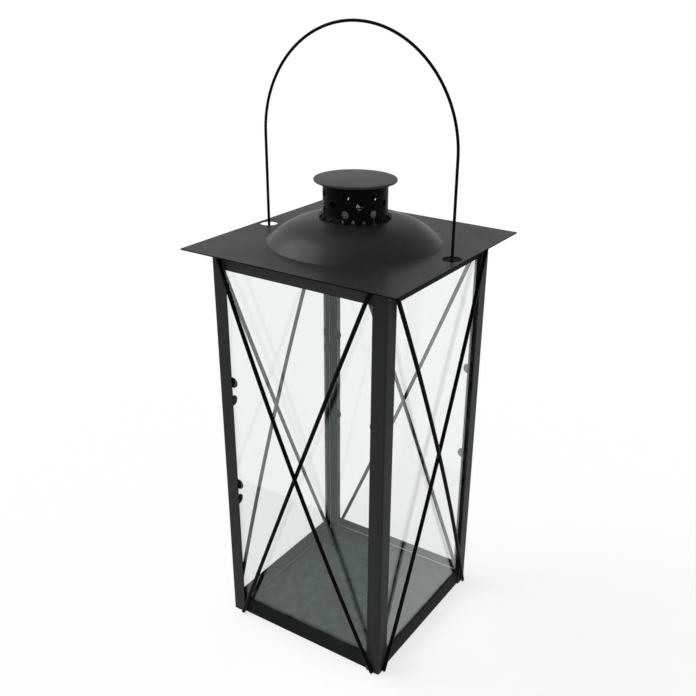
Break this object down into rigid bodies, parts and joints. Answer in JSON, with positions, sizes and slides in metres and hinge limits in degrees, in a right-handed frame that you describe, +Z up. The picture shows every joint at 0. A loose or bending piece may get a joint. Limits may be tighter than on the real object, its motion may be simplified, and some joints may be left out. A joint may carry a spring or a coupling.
{
  "type": "candle lantern",
  "caption": "Square glazed metal candle lantern with crossed wires on each side, a hinged door, a domed roof with a vented chimney and a swinging wire bail.",
  "frame": {"origin": "centre of the base, on the surface that the lantern stands on", "axes": "+Z up, the door on the +Y side, the door hinges at -X, the bail pivots along X"},
  "size_m": [0.169, 0.169, 0.4495],
  "materials": {
    "powder_coat": "fine-textured satin powder coat, charcoal",
    "wire_coat": "smooth satin powder coat, near black",
    "clear_glass": "clear float glass with cut edges",
    "bare_pin": "plain steel wire"
  },
  "bodies": {
    "lantern_body": {"base_tray": "powder_coat", "post_front_left": "powder_coat", "post_front_right": "powder_coat", "post_rear_right": "powder_coat", "post_rear_left": "powder_coat", "head_rail_front": "powder_coat", "head_rail_right": "powder_coat", "head_rail_left": "powder_coat", "head_rail_rear": "powder_coat", "roof_plate": "powder_coat", "chimney_collar": "powder_coat", "chimney_cap": "powder_coat", "pane_front": "clear_glass", "pane_right": "clear_glass", "pane_left": "clear_glass", "pane_clips": "powder_coat", "cross_wire_front_inner": "wire_coat", "cross_wire_front_outer": "wire_coat", "cross_wire_right_inner": "wire_coat", "cross_wire_right_outer": "wire_coat", "cross_wire_left_inner": "wire_coat", "cross_wire_left_outer": "wire_coat", "hinge_post_leaves": "powder_coat", "hinge_pins": "bare_pin"},
    "bail": {"carry_bail": "wire_coat"},
    "door": {"door_stile_hinge": "powder_coat", "door_stile_latch": "powder_coat", "door_rail_top": "powder_coat", "door_rail_bottom": "powder_coat", "door_pane": "clear_glass", "door_pane_clips": "powder_coat", "door_wire_inner": "wire_coat", "door_wire_outer": "wire_coat", "hinge_door_leaves": "powder_coat"},
    "latch": {"latch_knob": "powder_coat", "latch_cam": "powder_coat"}
  },
  "joints": [
    {"name": "bail_swing", "type": "hinge", "parent": "lantern_body", "child": "bail", "pos_m": [0, 0, 0.3], "axis": [1, 0, 0], "range_deg": [-32, 32]},
    {"name": "door_swing", "type": "hinge", "parent": "lantern_body", "child": "door", "pos_m": [-0.06685, 0.072, 0.1532], "axis": [0, 0, 1], "range_deg": [0, 170]},
    {"name": "latch_turn", "type": "hinge", "parent": "door", "child": "latch", "pos_m": [0.0632, 0.07, 0.1532], "axis": [0, -1, 0], "range_deg": [0, 90]}
  ]
}
